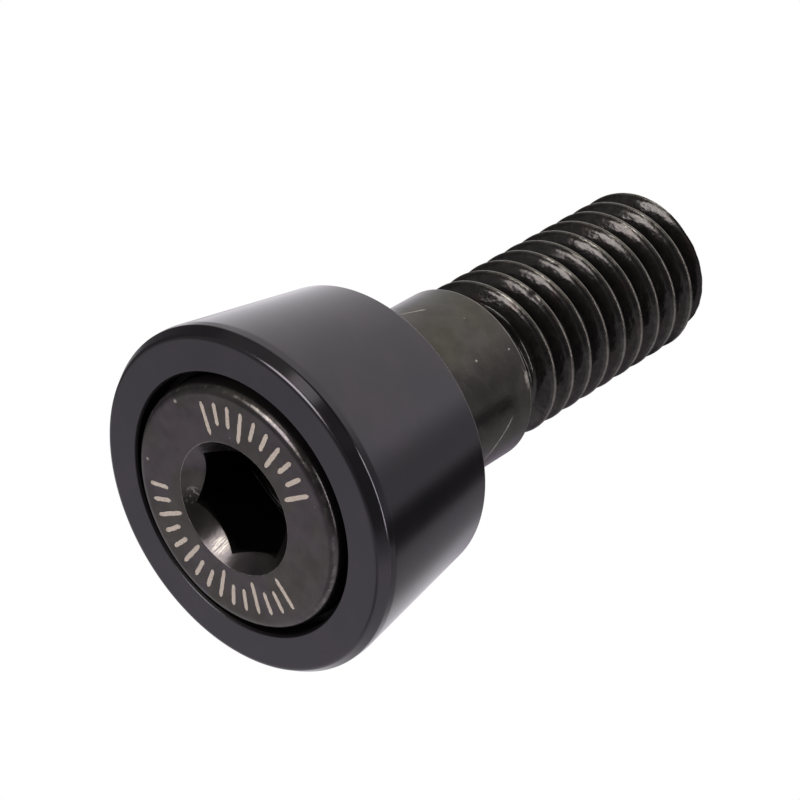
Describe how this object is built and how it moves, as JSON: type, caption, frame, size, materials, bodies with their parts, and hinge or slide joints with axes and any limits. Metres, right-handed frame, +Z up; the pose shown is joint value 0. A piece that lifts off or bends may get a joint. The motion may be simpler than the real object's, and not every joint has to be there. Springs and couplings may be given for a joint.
{
  "type": "cam follower",
  "caption": "Stud-type cam follower: a tapered black steel roller on caged needle rollers, on a hex-socket stud with a plain shank and a coarse thread.",
  "frame": {"origin": "on the stud's axis, in the plane of the seat face (the side plate's back face, which bears on the bracket)", "axes": "+Y along the stud from the roller to the thread's end, -Y out of the head's hex socket, +Z up, +X to the right seen from the head"},
  "size_m": [0.019, 0.0349, 0.019],
  "materials": {
    "black_oxide_roller": "glossy black oxide on ground steel",
    "black_oxide_stud": "satin black oxide with light scratches, worn bright on the thread crests",
    "bearing_steel": "ground and oiled bearing steel",
    "cage_steel": "pressed steel, dull",
    "seal_rubber": "matt black moulded polymer"
  },
  "bodies": {
    "stud_body": {"stud": "black_oxide_stud", "side_plate": "black_oxide_stud"},
    "roller": {"outer_ring": "black_oxide_roller", "front_seal": "seal_rubber", "back_seal": "seal_rubber"},
    "cage": {"needle_cage": "cage_steel"},
    "needle_01": {"needle_01": "bearing_steel"},
    "needle_02": {"needle_02": "bearing_steel"},
    "needle_03": {"needle_03": "bearing_steel"},
    "needle_04": {"needle_04": "bearing_steel"},
    "needle_05": {"needle_05": "bearing_steel"},
    "needle_06": {"needle_06": "bearing_steel"},
    "needle_07": {"needle_07": "bearing_steel"},
    "needle_08": {"needle_08": "bearing_steel"},
    "needle_09": {"needle_09": "bearing_steel"},
    "needle_10": {"needle_10": "bearing_steel"},
    "needle_11": {"needle_11": "bearing_steel"},
    "needle_12": {"needle_12": "bearing_steel"},
    "needle_13": {"needle_13": "bearing_steel"},
    "needle_14": {"needle_14": "bearing_steel"},
    "needle_15": {"needle_15": "bearing_steel"},
    "needle_16": {"needle_16": "bearing_steel"}
  },
  "joints": [
    {"name": "roller_spin", "type": "hinge", "parent": "stud_body", "child": "roller", "pos_m": [0, 0, 0], "axis": [0, 1, 0], "continuous": true},
    {"name": "cage_spin", "type": "hinge", "parent": "stud_body", "child": "cage", "pos_m": [0, 0, 0], "axis": [0, 1, 0], "continuous": true},
    {"name": "needle_01_spin", "type": "hinge", "parent": "cage", "child": "needle_01", "pos_m": [0, -0.00478, 0.00582], "axis": [0, 1, 0], "continuous": true},
    {"name": "needle_02_spin", "type": "hinge", "parent": "cage", "child": "needle_02", "pos_m": [0.00223, -0.00478, 0.00538], "axis": [0, 1, 0], "continuous": true},
    {"name": "needle_03_spin", "type": "hinge", "parent": "cage", "child": "needle_03", "pos_m": [0.00412, -0.00478, 0.00412], "axis": [0, 1, 0], "continuous": true},
    {"name": "needle_04_spin", "type": "hinge", "parent": "cage", "child": "needle_04", "pos_m": [0.00538, -0.00478, 0.00223], "axis": [0, 1, 0], "continuous": true},
    {"name": "needle_05_spin", "type": "hinge", "parent": "cage", "child": "needle_05", "pos_m": [0.00582, -0.00478, 0], "axis": [0, 1, 0], "continuous": true},
    {"name": "needle_06_spin", "type": "hinge", "parent": "cage", "child": "needle_06", "pos_m": [0.00538, -0.00478, -0.00223], "axis": [0, 1, 0], "continuous": true},
    {"name": "needle_07_spin", "type": "hinge", "parent": "cage", "child": "needle_07", "pos_m": [0.00412, -0.00478, -0.00412], "axis": [0, 1, 0], "continuous": true},
    {"name": "needle_08_spin", "type": "hinge", "parent": "cage", "child": "needle_08", "pos_m": [0.00223, -0.00478, -0.00538], "axis": [0, 1, 0], "continuous": true},
    {"name": "needle_09_spin", "type": "hinge", "parent": "cage", "child": "needle_09", "pos_m": [0, -0.00478, -0.00582], "axis": [0, 1, 0], "continuous": true},
    {"name": "needle_10_spin", "type": "hinge", "parent": "cage", "child": "needle_10", "pos_m": [-0.00223, -0.00478, -0.00538], "axis": [0, 1, 0], "continuous": true},
    {"name": "needle_11_spin", "type": "hinge", "parent": "cage", "child": "needle_11", "pos_m": [-0.00412, -0.00478, -0.00412], "axis": [0, 1, 0], "continuous": true},
    {"name": "needle_12_spin", "type": "hinge", "parent": "cage", "child": "needle_12", "pos_m": [-0.00538, -0.00478, -0.00223], "axis": [0, 1, 0], "continuous": true},
    {"name": "needle_13_spin", "type": "hinge", "parent": "cage", "child": "needle_13", "pos_m": [-0.00582, -0.00478, 0], "axis": [0, 1, 0], "continuous": true},
    {"name": "needle_14_spin", "type": "hinge", "parent": "cage", "child": "needle_14", "pos_m": [-0.00538, -0.00478, 0.00223], "axis": [0, 1, 0], "continuous": true},
    {"name": "needle_15_spin", "type": "hinge", "parent": "cage", "child": "needle_15", "pos_m": [-0.00412, -0.00478, 0.00412], "axis": [0, 1, 0], "continuous": true},
    {"name": "needle_16_spin", "type": "hinge", "parent": "cage", "child": "needle_16", "pos_m": [-0.00223, -0.00478, 0.00538], "axis": [0, 1, 0], "continuous": true}
  ],
  "couplings": [
    {"joint": "cage_spin", "follows": "roller_spin", "ratio": 0.55327},
    {"joint": "needle_01_spin", "follows": "roller_spin", "ratio": 4.795},
    {"joint": "needle_02_spin", "follows": "roller_spin", "ratio": 4.795},
    {"joint": "needle_03_spin", "follows": "roller_spin", "ratio": 4.795},
    {"joint": "needle_04_spin", "follows": "roller_spin", "ratio": 4.795},
    {"joint": "needle_05_spin", "follows": "roller_spin", "ratio": 4.795},
    {"joint": "needle_06_spin", "follows": "roller_spin", "ratio": 4.795},
    {"joint": "needle_07_spin", "follows": "roller_spin", "ratio": 4.795},
    {"joint": "needle_08_spin", "follows": "roller_spin", "ratio": 4.795},
    {"joint": "needle_09_spin", "follows": "roller_spin", "ratio": 4.795},
    {"joint": "needle_10_spin", "follows": "roller_spin", "ratio": 4.795},
    {"joint": "needle_11_spin", "follows": "roller_spin", "ratio": 4.795},
    {"joint": "needle_12_spin", "follows": "roller_spin", "ratio": 4.795},
    {"joint": "needle_13_spin", "follows": "roller_spin", "ratio": 4.795},
    {"joint": "needle_14_spin", "follows": "roller_spin", "ratio": 4.795},
    {"joint": "needle_15_spin", "follows": "roller_spin", "ratio": 4.795},
    {"joint": "needle_16_spin", "follows": "roller_spin", "ratio": 4.795}
  ]
}
